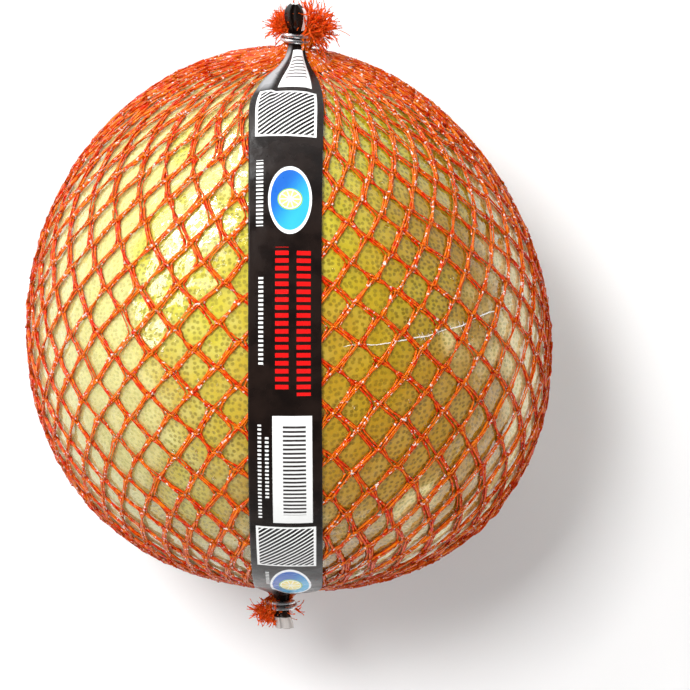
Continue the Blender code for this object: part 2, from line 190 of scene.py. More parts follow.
def from_photo(column, row, offset):
    """Direction in which a layer over the fruit shows at this place of the picture."""
    eye = camera_place()
    right = (column - FRAME_PIXELS / 2) / PIXELS_PER_METRE
    up = (FRAME_PIXELS / 2 - row) / PIXELS_PER_METRE
    way = np.array([right, up, -CAMERA_DISTANCE])
    low, high = 0.85, 1.0
    for _ in range(40):
        share = (low + high) / 2
        place = eye + way * share - CENTRE
        inside = np.linalg.norm(place) < fruit_reach(unit(place)) + offset
        low, high = (low, share) if inside else (share, high)
    return unit(eye + way * high - CENTRE)


# Mesh helpers

FLOOR_GAP = 0.05 * MM


def mesh_object(name, points, faces, material, smooth=True):
    mesh = bpy.data.meshes.new(name)
    points = np.asarray(points, dtype=np.float32).reshape(-1, 3)
    if isinstance(faces, np.ndarray):
        mesh.vertices.add(len(points))
        mesh.vertices.foreach_set("co", points.ravel())
        count, size = faces.shape
        mesh.loops.add(count * size)
        mesh.loops.foreach_set("vertex_index", faces.ravel().astype(np.int32))
        mesh.polygons.add(count)
        mesh.polygons.foreach_set("loop_start", np.arange(0, count * size, size, dtype=np.int32))
        mesh.update(calc_edges=True)
    else:
        mesh.from_pydata(points.tolist(), [], faces)
    if smooth:
        mesh.shade_smooth()
    mesh.materials.append(material)
    obj = bpy.data.objects.new(name, mesh)
    bpy.context.scene.collection.objects.link(obj)
    return obj


def filaments(name, paths, normals, width, thickness, material, twist=0.0, smooth=True):
    """Thin strands of four sides. paths and normals are (strand, point, 3)."""
    tangent = unit(np.gradient(paths, axis=1) + 1e-12)
    across = unit(np.cross(tangent, normals))
    out = np.cross(across, tangent)
    twist = np.broadcast_to(twist, paths.shape[:2])[..., None]
    cos, sin = np.cos(twist), np.sin(twist)
    across, out = across * cos + out * sin, out * cos - across * sin
    width = np.broadcast_to(width, paths.shape[:2])[..., None] / 2
    thickness = np.broadcast_to(thickness, paths.shape[:2])[..., None] / 2
    corners = (across * width, out * thickness, -across * width, -out * thickness)
    points = np.stack([paths + corner for corner in corners], 2)
    points[..., 2] = np.maximum(points[..., 2], FLOOR_GAP)
    strands, steps = paths.shape[:2]
    first = np.arange(strands) * steps * 4
    last = first + (steps - 1) * 4
    start = first[:, None, None] + (np.arange(steps - 1) * 4)[None, :, None]
    side = np.arange(4)[None, None, :]
    after = (side + 1) % 4
    quads = np.stack([start + side, start + after, start + after + 4, start + side + 4], -1)
    first_cap = np.stack([first + k for k in (3, 2, 1, 0)], -1)
    last_cap = np.stack([last + k for k in (0, 1, 2, 3)], -1)
    faces = np.concatenate([quads.reshape(-1, 4), first_cap, last_cap])
    obj = mesh_object(name, points, faces, material, smooth)
    # 1 at the strand's two edges, 0.5 at its underside and 0 on top: the material paints shade on
    # the edges and underside by it.
    edge = obj.data.attributes.new("edge", "FLOAT", "POINT")
    values = np.tile([1.0, 0.0, 1.0, 0.5], strands * steps)
    edge.data.foreach_set("value", values.astype(np.float32))
    return obj


def sphere_directions(level):
    work = bmesh.new()
    bmesh.ops.create_icosphere(work, subdivisions=level, radius=1.0)
    work.verts.ensure_lookup_table()
    points = np.array([v.co[:] for v in work.verts])
    faces = np.array([[v.index for v in f.verts] for f in work.faces])
    work.free()
    return unit(points), faces


def field(points, scale, octaves=2, shift=0.0):
    """Smooth noise from about -1 to 1 at each point."""
    start = Vector((shift, shift, shift))
    return np.array([noise.fractal(Vector(p) * scale + start, 1.0, 2.0, octaves) for p in points])


def finish_piece(obj, node):
    """Fix a piece to the body, in the place of its node if it has one."""
    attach(obj, "root")
    if node:
        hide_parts(node)
    return obj


# Node helpers


class Graph:
    """Nodes of a material or world: every input is a number, a tuple or another node's socket."""

    def __init__(self, owner, output="ShaderNodeOutputMaterial"):
        self.owner = owner
        owner.use_nodes = True
        self.tree = owner.node_tree
        self.tree.nodes.clear()
        self.output = self.tree.nodes.new(output)

    def node(self, kind, values=None, out=0, **settings):
        """One output of a new node."""
        made = self.tree.nodes.new("ShaderNode" + kind)
        for key, value in settings.items():
            setattr(made, key, value)
        for key, value in (values or {}).items():
            socket = made.inputs[key]
            if isinstance(value, bpy.types.NodeSocket):
                self.tree.links.new(value, socket)
            elif isinstance(value, tuple) and len(value) < len(socket.default_value):
                socket.default_value = (*value, 1.0)
            else:
                socket.default_value = value
        return made.outputs[out]

    def math(self, operation, first, second=0.0, third=0.0):
        return self.node("Math", {0: first, 1: second, 2: third}, operation=operation)

    def scale(self, vector, factor):
        return self.node("VectorMath", {0: vector, "Scale": factor}, operation="SCALE")

    def add(self, first, second):
        return self.node("VectorMath", {0: first, 1: second}, operation="ADD")

    def split(self, vector):
        """The three coordinates of a vector."""
        outputs = self.node("SeparateXYZ", {0: vector}).node.outputs
        return [outputs[k] for k in range(3)]

    def span(self, value, low, high, start=0.0, end=1.0):
        """Smooth step from start, where value is low, to end, where it is high."""
        return self.node(
            "MapRange",
            {"Value": value, "From Min": low, "From Max": high, "To Min": start, "To Max": end},
            interpolation_type="SMOOTHSTEP",
        )

    def mix(self, share, first, second):
        return self.node("Mix", {0: share, 6: first, 7: second}, out=2, data_type="RGBA")

    def mix_shader(self, share, first, second):
        return self.node("MixShader", {0: share, 1: first, 2: second})

    def done(self, shader):
        self.tree.links.new(shader, self.output.inputs["Surface"])
        return self.owner

    def place(self):
        """Object coordinates, which are those of the frame."""
        return self.node("TexCoord", out=3)

    def noise(self, scale, detail=2.0, roughness=0.5):
        values = {"Vector": self.place(), "Scale": scale, "Detail": detail, "Roughness": roughness}
        return self.node("TexNoise", values)

    def cells(self, vector, scale, randomness=1.0, dimensions="3D"):
        """Distance to the nearest of scattered spots."""
        values = {"Vector": vector, "Scale": scale, "Randomness": randomness}
        return self.node("TexVoronoi", values, voronoi_dimensions=dimensions)

    def bump(self, height, distance, strength):
        return self.node("Bump", {"Height": height, "Distance": distance, "Strength": strength})


def new_material(name):
    return Graph(bpy.data.materials.new(name))


# Materials. The fruit's patterns are set out in millimetres of its radius.

RIND_MM = 76.0
RIND_GREEN, RIND_GOLDEN = (0.57, 0.54, 0.022), (0.46, 0.245, 0.008)
# Painted light: a paler yellow for patches on the lit left of the rind.
RIND_PAINTED_LIGHT = (0.60, 0.58, 0.22)
# Painted reflection: the pale veil where the film is loose, brighter on the right as painted light.
PAINTED_VEIL_LEFT, PAINTED_VEIL_RIGHT = (0.54, 0.51, 0.16), (0.95, 0.83, 0.38)
PAINTED_VEIL_SHARE = 0.75
PORE_GREEN, PORE_GOLDEN, PORE_PAINTED_VEIL = (0.27, 0.26, 0.005), (0.24, 0.135, 0.006), (0.33, 0.32, 0.03)
PORES_PER_MM = 0.60
FRECKLES_PER_MM = 1.5
FRECKLE = (0.40, 0.36, 0.03)

FILM_IOR = 1.5
FILM_GLOSS, FILM_GLOSS_MOST = 1.85, 0.36
FILM_ROUGHNESS = 0.07
# Milky haze of the loose film, and painted light where more of it brightens the dim right.
FILM_MILK_AND_PAINTED_LIGHT = (1.0, 0.90, 0.50)
LOOSE_FROM, LOOSE_FULL = -0.74, -0.69

STRAND_RED, STRAND_ORANGE = (0.88, 0.036, 0.001), (1.0, 0.30, 0.008)
# Painted shade for the strands' edges and undersides.
STRAND_EDGE_SHADE = (0.60, 0.010, 0.001)
# Painted glints: white specks on the strands.
STRAND_PAINTED_GLINT = (1.0, 0.90, 0.84)
# Brighter copy of the strand colours for the cut ends: painted light against the brush's own shade.
CUT_RED_PAINTED_LIGHT, CUT_ORANGE_PAINTED_LIGHT = (1.0, 0.035, 0.003), (1.0, 0.20, 0.02)


def rind_map(g):
    """Flat coordinates over the fruit, nearly free of stretch.

    They are those of the six faces of a cube that is blown up to the sphere.
    """
    x, y, z = g.split(g.add(g.place(), tuple(-CENTRE)))
    size = [g.math("ABSOLUTE", v) for v in (x, y, z)]
    most = g.math("MAXIMUM", size[0], g.math("MAXIMUM", size[1], size[2]))
    nearly = g.math("MULTIPLY", most, 0.99999)
    on_z = g.math("GREATER_THAN", size[2], nearly)
    off_z = g.math("SUBTRACT", 1.0, on_z)
    on_x = g.math("MULTIPLY", g.math("GREATER_THAN", size[0], nearly), off_z)
    first = g.math("MULTIPLY_ADD", on_x, g.math("SUBTRACT", y, x), x)
    second = g.math("MULTIPLY_ADD", on_z, g.math("SUBTRACT", y, z), z)
    turns = [g.math("ARCTANGENT", g.math("DIVIDE", v, most)) for v in (first, second)]
    shift = g.math("MULTIPLY_ADD", on_z, 3.7, g.math("MULTIPLY", on_x, 8.3))
    return g.node("CombineXYZ", {0: g.math("ADD", turns[0], shift), 1: turns[1], 2: 0.0})


def loose_edge(g):
    """How far down the sides a spot lies, unevenly. Above LOOSE_FROM the film is loose."""
    x, y, z = g.split(g.place())
    side = g.math("MULTIPLY_ADD", z, -1 / (RIND_MM * MM), 1.0)
    edge = g.math("ADD", side, g.math("SUBTRACT", g.noise(26.0, 3.0), 0.4))
    ends = g.math("MULTIPLY", g.math("ABSOLUTE", y), -4.0)
    return g.math("ADD", edge, g.math("MULTIPLY_ADD", x, -2.0, ends))


def rind_material():
    """Green to golden rind with sunk pores and freckles, and a painted pale veil of reflected light
    where the film is loose, painted brighter on the right against its shade.
    """
    g = new_material("pomelo_rind")
    x, y, _ = g.split(g.place())
    lean = g.math("MULTIPLY_ADD", x, 8.0, g.math("MULTIPLY", y, -7.0))
    lean = g.math("ADD", lean, g.math("MULTIPLY_ADD", g.noise(22.0, 3.0), 1.6, -0.60))
    golden = g.span(lean, -0.35, 0.75)
    ground = g.mix(golden, RIND_GREEN, RIND_GOLDEN)
    # Painted light: pale patches, mostly on the lit left side.
    patches = g.span(g.noise(120.0, 3.0), 0.42, 0.75)
    painted_light_left = g.math("MULTIPLY", patches, g.span(x, -0.06, 0.03, 0.85, 0.1))
    ground = g.mix(painted_light_left, ground, RIND_PAINTED_LIGHT)
    # Painted reflection where the film is loose, with painted light on the right and the pores
    # fainter under it.
    ring = g.span(loose_edge(g), -0.78, -0.64)
    painted_veil_colour = g.mix(g.span(x, -0.05, 0.04), PAINTED_VEIL_LEFT, PAINTED_VEIL_RIGHT)
    ground = g.mix(g.math("MULTIPLY", ring, PAINTED_VEIL_SHARE), ground, painted_veil_colour)
    # Pores, in a slightly warped field of cells.
    flat = g.scale(rind_map(g), RIND_MM)
    wobble = g.node("TexNoise", {"Vector": flat, "Scale": 0.35, "Detail": 1.0}, out=1)
    flat = g.add(flat, g.scale(wobble, 0.7))
    dots = g.span(g.cells(flat, PORES_PER_MM, 0.70, "2D"), 0.19, 0.43, 1.0, 0.0)
    strength = g.span(g.noise(60.0, 2.0), 0.3, 0.7, 0.6, 1.0)
    strength = g.math("MULTIPLY", strength, g.math("MULTIPLY_ADD", ring, -0.25, 1.0))
    pore = g.mix(ring, g.mix(golden, PORE_GREEN, PORE_GOLDEN), PORE_PAINTED_VEIL)
    colour = g.mix(g.math("MULTIPLY", dots, strength), ground, pore)
    freckle = g.cells(flat, FRECKLES_PER_MM, 1.0, "2D")
    colour = g.mix(g.span(freckle, 0.10, 0.26, 0.30, 0.0), colour, FRECKLE)
    grain = g.math("MULTIPLY", g.noise(900.0, 2.0), 0.5)
    height = g.math("ADD", g.math("MULTIPLY", dots, -0.7), grain)
    shader = g.node(
        "BsdfPrincipled",
        {
            "Base Color": colour,
            "Roughness": g.span(dots, 0.0, 1.0, 0.42, 0.55),
            "Specular IOR Level": 0.22,
            "Normal": g.bump(height, 0.25 * MM, 0.7),
            "Subsurface Weight": 0.08,
            "Subsurface Radius": (0.004, 0.003, 0.001),
            "Subsurface Scale": 0.4,
        },
    )
    return g.done(shader)


def film_material():
    """Clear film: what is behind it shows through its gloss, and it is milky where it is loose."""
    g = new_material("clear_film")
    x = g.split(g.place())[0]
    wide = g.noise(85.0, 2.0, 0.45)
    fine = g.noise(420.0, 2.0)
    bubbles = g.span(g.cells(g.place(), 150.0), 0.05, 0.11, 0.3, 0.0)
    height = g.math("ADD", g.math("MULTIPLY_ADD", fine, 0.10, wide), bubbles)
    normal = g.bump(height, 2.1 * MM, 0.85)
    white = (1.0, 1.0, 1.0)
    gloss = g.node(
        "BsdfPrincipled",
        {"Base Color": white, "Metallic": 1.0, "Roughness": FILM_ROUGHNESS, "Normal": normal},
    )
    clear = g.node("BsdfTransparent", {"Color": (0.99, 0.99, 0.985)})
    share = g.math("MULTIPLY", g.node("Fresnel", {"IOR": FILM_IOR, "Normal": normal}), FILM_GLOSS)
    film = g.mix_shader(g.math("MINIMUM", share, FILM_GLOSS_MOST), clear, gloss)
    # Low on the sides it is milky, most so at the right, where the extra milk is painted light on
    # the dimmer side, and at the left a little all over.
    edge = loose_edge(g)
    loose = g.span(edge, LOOSE_FROM, LOOSE_FULL)
    more_at_right = g.math("ADD", g.span(x, 0.02, 0.06, 0.0, 0.10), 0.08)
    share = g.math("MULTIPLY", loose, more_at_right)
    share = g.math("ADD", share, g.span(edge, -0.6, 0.1, 0.0, 0.07))
    share = g.math("ADD", share, g.span(x, -0.045, 0.03, 0.05, 0.0))
    return g.done(g.mix_shader(share, film, g.node("BsdfDiffuse", {"Color": FILM_MILK_AND_PAINTED_LIGHT})))


def crease_material():
    """Folded film: white, glossy and a quarter see-through."""
    g = new_material("film_crease")
    normal = g.bump(g.noise(1500.0, 2.0), 0.2 * MM, 0.6)
    values = {"Base Color": (0.95, 0.95, 0.93), "Roughness": 0.2, "Normal": normal}
    shader = g.node("BsdfPrincipled", {**values, "Specular IOR Level": 0.8})
    return g.done(g.mix_shader(0.75, g.node("BsdfTransparent"), shader))


def strand_material(
    name, deep, clear=0.42, painted_glint_from=0.63, red=STRAND_RED, orange=STRAND_ORANGE, rim=0.7
):
    """Glossy orange plastic tape, with painted shade, a darker red, on its edges and underside by
    the share rim.

    deep moves its noise towards red, clear is the share of light let through, and the noise above
    sparkle is painted white, as glints.
    """
    g = new_material(name)
    edge = g.node("Attribute", out=2, attribute_name="edge")
    colour = g.mix(g.span(g.noise(700.0, 2.0), 0.26 + deep, 0.58 + deep), red, orange)
    # Painted shade: darker red on the edges and underside.
    colour = g.mix(g.math("MULTIPLY", edge, rim), colour, STRAND_EDGE_SHADE)
    # Painted glints: white specks where the noise is high.
    colour = g.mix(g.span(g.noise(1000.0, 1.0), painted_glint_from, painted_glint_from + 0.05), colour, STRAND_PAINTED_GLINT)
    normal = g.bump(g.noise(1700.0, 2.0), 0.05 * MM, 1.0)
    values = {"Base Color": colour, "Roughness": 0.15, "Normal": normal}
    solid = g.node("BsdfPrincipled", {**values, "Specular IOR Level": 0.55})
    return g.done(g.mix_shader(clear, solid, g.node("BsdfTranslucent", {"Color": colour})))


def metal_material():
    g = new_material("clip_metal")
    worn = g.noise(900.0, 3.0)
    shader = g.node(
        "BsdfPrincipled",
        {
            "Base Color": g.mix(g.span(worn, 0.4, 0.65), (0.78, 0.78, 0.79), (0.50, 0.50, 0.52)),
            "Metallic": 1.0,
            "Roughness": g.span(worn, 0.35, 0.7, 0.2, 0.42),
            "Normal": g.bump(g.noise(2400.0, 1.0), 0.05 * MM, 0.6),
        },
    )
    return g.done(shader)


def floor_material():
    g = new_material("studio_floor")
    colour = g.mix(g.noise(14.0, 2.0), (0.70, 0.70, 0.70), (0.71, 0.71, 0.71))
    return g.done(g.node("BsdfPrincipled", {"Base Color": colour, "Roughness": 0.7}))


# Fruit and film

BALL_LEVEL = 7
FILM_HEIGHT_MM = 0.38


def stem_sink(d):
    """The shallow basin round the stem scar."""
    away = angle_from(d, UPPER_KNOT) * STEM_REACH / MM
    depth = np.interp(away, [0, 2.3, 3.1, 5.0, 9.0, 14.0], [-1.5, -0.9, -1.6, -1.6, -0.7, 0.0])
    return depth * MM


def make_fruit():
    d, faces = sphere_directions(BALL_LEVEL)
    lumps = field(d, 7.0, 3) * 0.10 + field(d, 28.0, 2, 5.0) * 0.05
    points = layer_point(d, stem_sink(d) + lumps * MM)
    obj = mesh_object("pomelo_fruit", points, faces, rind_material())
    return finish_piece(obj, "fruit")


def make_film():
    d, faces = sphere_directions(BALL_LEVEL)
    waves = field(d, 5.0, 2, 11.0) * 0.05 + field(d, 13.0, 2, 3.0) * 0.05
    nearest = np.minimum(angle_from(d, UPPER_KNOT), angle_from(d, LOWER_KNOT))
    pull = np.clip(1 - nearest / 0.7, 0, 1) ** 1.5
    turn = np.arctan2(d[:, 0], d[:, 2])
    waves += pull * 0.10 * np.sin(turn * 31 + 2 * np.sin(turn * 7))
    points = layer_point(d, (FILM_HEIGHT_MM + waves) * MM)
    obj = mesh_object("film_skin", points, faces, film_material())
    return finish_piece(obj, "film_bag")


# Places of the picture, in pixels, that the long crease of the film runs through.
CREASE_COLUMNS = (343, 362, 390, 412, 430, 452, 470, 492, 516)
CREASE_ROWS = (346, 345, 343, 339, 335, 328, 321, 312, 303)
CREASE_STEPS = 80
CREASE_HEIGHT = 0.72 * MM
CREASE_THICKNESS = 0.25 * MM
TICKS = 14
TICK_HEIGHT = 0.64 * MM
TICK_THICKNESS = 0.15 * MM


def make_crease():
    """The bright fold of spare film across the right of the front, with its small cross folds."""
    count = len(CREASE_ROWS)
    along = np.linspace(0, count - 1, CREASE_STEPS)
    columns = np.interp(along, range(count), CREASE_COLUMNS)
    rows = np.interp(along, range(count), CREASE_ROWS)
    rng = np.random.default_rng(12)
    rows = rows + np.convolve(rng.normal(0, 1.2, CREASE_STEPS + 4), np.ones(5) / 5, "valid")
    d = np.array([from_photo(c, r, 0.7 * MM) for c, r in zip(columns, rows)])
    path = layer_point(d, CREASE_HEIGHT)
    width = np.interp(along / along[-1], [0, 0.1, 0.5, 0.9, 1], [0.10, 0.32, 0.30, 0.34, 0.08]) * MM
    width *= 1 + 0.35 * np.convolve(rng.normal(0, 1, CREASE_STEPS + 2), np.ones(3) / 3, "valid")
    width = np.abs(width)
    material = crease_material()
    obj = filaments("film_fold", path[None], d[None], width[None], CREASE_THICKNESS, material)
    finish_piece(obj, None)
    places = rng.integers(34, 66, TICKS)
    reach = np.linspace(-1, 1, 3)[None] * rng.uniform(1.5, 5.0, TICKS)[:, None]
    d = np.array(
        [
            [from_photo(columns[k] + 0.4 * step, rows[k] + step, 0.62 * MM) for step in tick]
            for k, tick in zip(places, reach)
        ]
    )
    path = layer_point(d, TICK_HEIGHT)
    width = np.array([0.05, 0.12, 0.04]) * MM
    obj = filaments("film_fold_ticks", path, d, width[None], TICK_THICKNESS, material)
    return finish_piece(obj, None)


# Net


def mesh_size(polar):
    """Reach from the middle, half width and half height of the meshes at a row of the net."""
    reach = float(fruit_reach(net_direction(math.pi, polar))) + STRAND_BASE
    half_width = math.pi * reach * math.sin(polar) / MESHES_ROUND
    return reach, half_width, math.sqrt(STRAND_LENGTH**2 - half_width**2)


def rows_towards(polar, way):
    """Rows of crossings from this one to the gathered end, each a half mesh on."""
    rows = []
    while True:
        reach, _, half_height = mesh_size(polar)
        polar += way * half_height / reach
        if reach * math.sin(polar) < LEAST_GATHER or not 0 < polar < math.pi:
            return rows
        rows.append(polar)


def net_rows():
    rest = math.pi / 2
    for _ in range(20):
        rest = math.pi / 2 + KNOT_TILT + KNOT_TILT_CHANGE * math.cos(rest)
    upper = rows_towards(rest, -1)[::-1]
    return np.array([*upper, rest, *rows_towards(rest, 1)])


def net_crossings(rng):
    """(longitude, polar) of every crossing, one array row per row of the net, a little uneven."""
    rows = net_rows()
    count = len(rows)
    half = np.arange(count) % 2 / 2
    longitude = math.tau * (np.arange(MESHES_ROUND)[None] + half[:, None]) / MESHES_ROUND
    polar = np.repeat(rows[:, None], MESHES_ROUND, 1)
    ring = STEM_REACH * np.sin(polar)
    uneven = 0.32 * MM * np.clip(ring / (40 * MM), 0.15, 1)
    longitude = longitude + rng.normal(0, 1, longitude.shape) * uneven / ring
    polar = polar + rng.normal(0, 1, polar.shape) * uneven / STEM_REACH
    return longitude, polar


def strand_ends(longitude, polar, way):
    """Crossings joined by strands that run east (way 1) or west (way -1) on their way down."""
    starts, ends = [], []
    for k in range(len(longitude) - 1):
        ahead = k % 2
        i = np.arange(MESHES_ROUND)
        j = i + ahead + (0 if way > 0 else -1)
        wrap = np.floor_divide(j, MESHES_ROUND) * math.tau
        j = j % MESHES_ROUND
        starts.append(np.stack([longitude[k, i], polar[k, i]], -1))
        ends.append(np.stack([longitude[k + 1, j] + wrap, polar[k + 1, j]], -1))
    return np.concatenate(starts), np.concatenate(ends)


def strand_paths(start, end, first, second, offset, bow):
    """Filament points along each strand. first and second are its ends' sideways distances."""
    share = np.linspace(0, 1, STRAND_STEPS)
    ease = share * share * (3 - 2 * share)
    longitude = start[:, None, 0] + (end[:, None, 0] - start[:, None, 0]) * share
    polar = start[:, None, 1] + (end[:, None, 1] - start[:, None, 1]) * share
    ring = np.maximum(STEM_REACH * np.sin(polar), 6 * MM)
    flare = [0.6 + 0.4 * np.clip(1 - near / 0.38, 0, 1) ** 2 for near in (share, 1 - share)]
    sideways = first[:, None] * (1 - ease) * flare[0] + second[:, None] * ease * flare[1]
    slack = bow[:, None] * np.sin(math.pi * share)
    d = net_direction(longitude + sideways / ring, polar + slack / STEM_REACH)
    return net_point(d, offset), d


def fineness(polar):
    """How much finer the filaments are near the knots, where the net is gathered."""
    return np.clip(STEM_REACH * np.sin(polar) / FINER_WITHIN, 0.12, 1)


def make_strands(name, rng, longitude, polar, way, level, sides, material):
    """Three filaments a strand: two at its sides, which part at its ends, and one between them."""
    start, end = strand_ends(longitude, polar, way)
    count = len(start)
    size, size_end = fineness(start[:, 1]), fineness(end[:, 1])
    slack = 1 + 0.5 * eased((1 - np.cos(start[:, 0]) - 0.15) / 0.7)
    crossed = np.where(rng.random(count) < 0.3, -1, 1)
    bar = way * BAR_LENGTH * 0.6
    parts = []
    for lift, (first, second) in zip((0.0, 0.06, 0.24), sides):
        second = second * crossed
        first = (first * 0.98 * MM + bar + rng.normal(0, 0.14 * MM, count)) * size
        second = (second * 1.04 * MM - bar + rng.normal(0, 0.16 * MM, count)) * size_end
        uneven = rng.normal(0, 0.05, (count, STRAND_STEPS))
        heights = (level + uneven + lift * slack[:, None] ** 2) * MM
        bow = rng.normal(0, 0.2 * MM, count)
        parts.append(strand_paths(start, end, first, second, heights, bow))
    path, normal = (np.concatenate(arrays) for arrays in zip(*parts))
    total = len(path)
    broad = slack * (1 + 0.35 * eased((start[:, 1] - BROADER_BELOW) / 0.5))
    slim = np.concatenate([(0.5 + 0.5 * size) * broad] * 3)[:, None]
    width = (STRAND_WIDTH_MM + rng.normal(0, 0.12, (total, STRAND_STEPS))) * MM * slim
    twist = rng.uniform(-0.7, 0.7, (total, 1)) + rng.normal(0, 0.4, (total, STRAND_STEPS))
    thickness = STRAND_THICKNESS * slim**0.5
    return filaments(name, path, normal, width, thickness, material, twist, smooth=False)


def make_bars(rng, longitude, polar, material):
    """Short bars in which neighbouring strands are knitted together, two at each crossing."""
    size = fineness(polar)
    reach = BAR_LENGTH * size / (STEM_REACH * np.sin(polar))
    share = np.linspace(-1.2, 1.2, 4)
    parts = []
    for lift, tip in ((0.12, 0.34), (-0.02, -0.30)):
        lon = longitude[..., None] + share * reach[..., None]
        pol = polar[..., None] + (share * tip + rng.normal(0, 0.12, lon.shape)) * MM / STEM_REACH
        d = net_direction(lon.reshape(-1, 4), pol.reshape(-1, 4))
        parts.append((net_point(d, (1.1 + lift) * MM), d))
    path, normal = (np.concatenate(arrays) for arrays in zip(*parts))
    slim = np.concatenate([size.ravel()] * 2)[:, None]
    twist = rng.normal(0, 0.5, (len(path), 1))
    width, thickness = 0.7 * MM * slim, 0.4 * MM * slim
    return filaments("net_bars", path, normal, width, thickness, material, twist, smooth=False)


def make_sleeve():
    rng = np.random.default_rng(7)
    longitude, polar = net_crossings(rng)
    upper = strand_material("net_strands", 0.0)
    # The lower family is a deeper red copy of the same plastic with fewer glints: painted shade.
    lower = strand_material("net_strands_below_painted_shade", 0.10, painted_glint_from=0.68)
    left_sides = ((-1.25, -0.95), (1.15, 1.1), (0.1, 0.0))
    right_sides = ((-1.0, -1.3), (1.05, 0.9), (0.0, 0.2))
    made = [
        make_strands("net_strands_left", rng, longitude, polar, -1, 1.05, left_sides, upper),
        make_strands("net_strands_right", rng, longitude, polar, 1, 0.84, right_sides, lower),
        make_bars(rng, longitude, polar, upper),
    ]
    for obj in made:
        finish_piece(obj, "net_sleeve")
    return longitude, polar, upper


GATHER_PER_CROSSING = 16
NECK_STATIONS = ((4.6, 0.95), (5.9, 0.86), (7.2, 0.9))
BRUSH_STEPS = 8
BRUSH_THICKNESS = 0.2 * MM


def make_gather(name, knot, longitude, polar, seed, brush, materials):
    """Filaments from the net's last row through the neck and the clip to their cut, frayed ends.

    brush gives the cut ends on each side of the band as least angle, greatest angle and length in
    mm, the sine of the turn that splits them, and the one round which some slip past the clip.
    """
    rng = np.random.default_rng(seed)
    d0 = net_direction(longitude, polar)
    offaxis = d0 @ knot.out
    radial = d0 - offaxis[:, None] * knot.out
    turn0 = np.repeat(np.arctan2(radial @ knot.side, radial @ knot.front), GATHER_PER_CROSSING)
    angle0 = np.repeat(np.arccos(np.clip(offaxis, -1, 1)), GATHER_PER_CROSSING)
    count = len(turn0)
    turn = turn0 + rng.normal(0, 0.05, count)
    rim = angle0 * fruit_reach(knot.out) * rng.uniform(1.0, 1.18, count)
    neck = np.sqrt(rng.uniform(0.1, 1.0, count))
    steps, normals = [], []
    for share in (1.0, 0.8, 0.6, 0.42, 0.3):
        spot = knot.around(rim * share, turn + (1 - share) * 0.35)
        height = 1.15 + rng.uniform(-0.15, 0.5, count) * (1.3 - share)
        steps.append(net_point(spot, height * MM))
        normals.append(spot)
    turn = turn + 0.25
    sin, cos = np.sin(turn), np.cos(turn)
    spoke = cos[:, None] * knot.front + sin[:, None] * knot.side
    # Some of them slip past the clip on the outside.
    slipped = (np.abs(sin - brush["slip"]) < 0.45) & (rng.random(count) < 0.55)
    wide = np.where(slipped, rng.uniform(1.5, 2.1, count), 1.0)
    ahead = np.where(slipped, rng.uniform(1.0, 2.6, count), 0.0) * MM
    for height, size in NECK_STATIONS:
        front = NECK_FRONT * size * neck * cos + ahead
        steps.append(knot.point(height * MM, front, NECK_SIDE * size * neck * wide * sin))
        normals.append(spoke)
    # Past the clip they spread like a brush on both sides of the band.
    right = sin > -brush["split"]
    sign = np.where(right, 1.0, -1.0)
    low, high, longest = (np.where(right, brush["right"][k], brush["left"][k]) for k in range(3))
    spread = rng.uniform(low, high)
    length = longest * rng.uniform(0.6, 1.0, count) * MM
    forward = rng.uniform(-0.8, 0.12, count)
    way = np.cos(spread)[:, None] * knot.out + (np.sin(spread) * sign)[:, None] * knot.side
    way = way + forward[:, None] * knot.front
    place = steps[-1] + (sign * rng.uniform(0.2, 1.0, count) * MM)[:, None] * knot.side
    steps[-1] = steps[-1] * 0.4 + place * 0.6
    bend = rng.normal(0, 0.12, (count, 3))
    brush_from = len(steps) - 1
    for _ in range(BRUSH_STEPS):
        way = unit(way + bend + rng.normal(0, 0.22, (count, 3)))
        place = place + way * (length / BRUSH_STEPS)[:, None]
        steps.append(place)
        normals.append(unit(np.cross(way, rng.normal(0, 1, (count, 3)))))
    path, normal = np.stack(steps, 1), np.stack(normals, 1)
    points = path.shape[1]
    width = np.interp(np.arange(points), [0, 4, 7, 8, 15], [0.46, 0.44, 0.42, 0.56, 0.38]) * MM
    twist = rng.uniform(-0.8, 0.8, (count, 1)) + np.cumsum(rng.normal(0, 0.25, path.shape[:2]), 1)
    obj = filaments(name, path, normal, width, BRUSH_THICKNESS, materials[0], twist, smooth=False)
    obj.data.materials.append(materials[1])
    brushed = np.arange(points - 1)[None, :, None] >= brush_from
    brushed = np.broadcast_to(brushed, (count, points - 1, 4)).ravel()
    index = np.concatenate([brushed, np.zeros(count, bool), np.ones(count, bool)])
    obj.data.polygons.foreach_set("material_index", index.astype(np.int32))
    return finish_piece(obj, "net_sleeve")


# Label band

BAND_HALF_WIDTH = 10.0 * MM
BAND_PINCHED = 2.2 * MM
BAND_LANDING = 4.2 * MM
UPPER_TAPER = 30 * MM
LOWER_TAPER = 31 * MM
BAND_HEIGHT_MM = 1.62
BAND_THICKNESS = 0.12 * MM
BAND_STEPS, UPPER_TAIL_STEPS, LOWER_TAIL_STEPS = 260, 36, 26
ACROSS = np.linspace(-1, 1, 49)
# Stations of the band's tails in mm: height over the knot, distance ahead, half width, shift.
THROUGH_CLIP = ((3.9, 0.35, 2.2, 0.0), (4.9, 0.0, 2.1, 0.0), (7.7, 0.05, 2.1, 0.0))
UPPER_TAIL = (
    *THROUGH_CLIP,
    (9.2, 0.95, 2.7, -0.1),
    (11.6, 1.7, 3.3, -0.3),
    (14.6, 1.9, 3.1, -0.5),
    (16.2, 1.5, 1.3, -0.7),
)
LOWER_TAIL = (*THROUGH_CLIP, (9.2, 0.85, 2.4, 0.4), (10.8, 0.9, 2.7, 0.9), (12.8, 0.6, 2.7, 1.2))


def eased(share):
    share = np.clip(share, 0, 1)
    return share * share * (3 - 2 * share)


